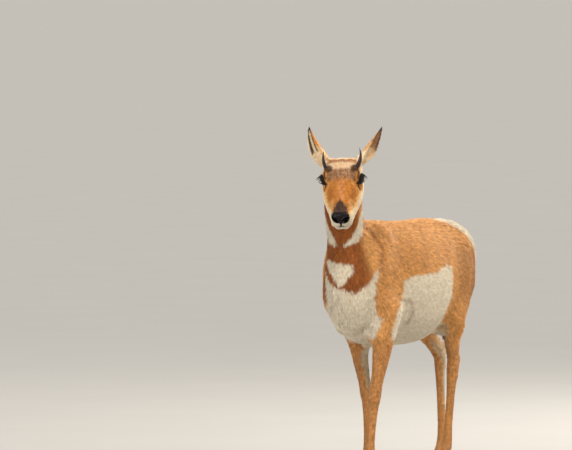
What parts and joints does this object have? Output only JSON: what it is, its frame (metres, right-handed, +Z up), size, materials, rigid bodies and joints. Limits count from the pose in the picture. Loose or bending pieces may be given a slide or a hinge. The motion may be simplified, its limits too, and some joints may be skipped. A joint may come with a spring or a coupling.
{
  "type": "pronghorn",
  "caption": "Life-size still model of a standing pronghorn doe in mid-step, head turned to its left, with short horns and a white rump.",
  "frame": {"origin": "middle of the bounding box's foot, on the ground between the hooves", "axes": "+X the way the body faces, +Y the animal's left, +Z up"},
  "size_m": [1.108, 0.306, 1.1831],
  "materials": {
    "coat": "short dense fur",
    "white_coat": "longer soft fur",
    "eye": "wet gloss",
    "horn": "satin keratin",
    "hoof": "satin keratin"
  },
  "bodies": {
    "root": {"torso": "coat", "neck": "coat", "head": "coat", "tail": "white_coat", "left_ear": "coat", "right_ear": "coat", "left_eye": "eye", "right_eye": "eye", "left_horn": "horn", "right_horn": "horn", "left_fore_upper_leg": "coat", "left_fore_lower_leg": "coat", "left_fore_outer_claw": "hoof", "left_fore_inner_claw": "hoof", "right_fore_upper_leg": "coat", "right_fore_lower_leg": "coat", "right_fore_outer_claw": "hoof", "right_fore_inner_claw": "hoof", "left_hind_upper_leg": "coat", "left_hind_lower_leg": "coat", "left_hind_outer_claw": "hoof", "left_hind_inner_claw": "hoof", "right_hind_upper_leg": "coat", "right_hind_lower_leg": "coat", "right_hind_outer_claw": "hoof", "right_hind_inner_claw": "hoof"}
  },
  "joints": []
}
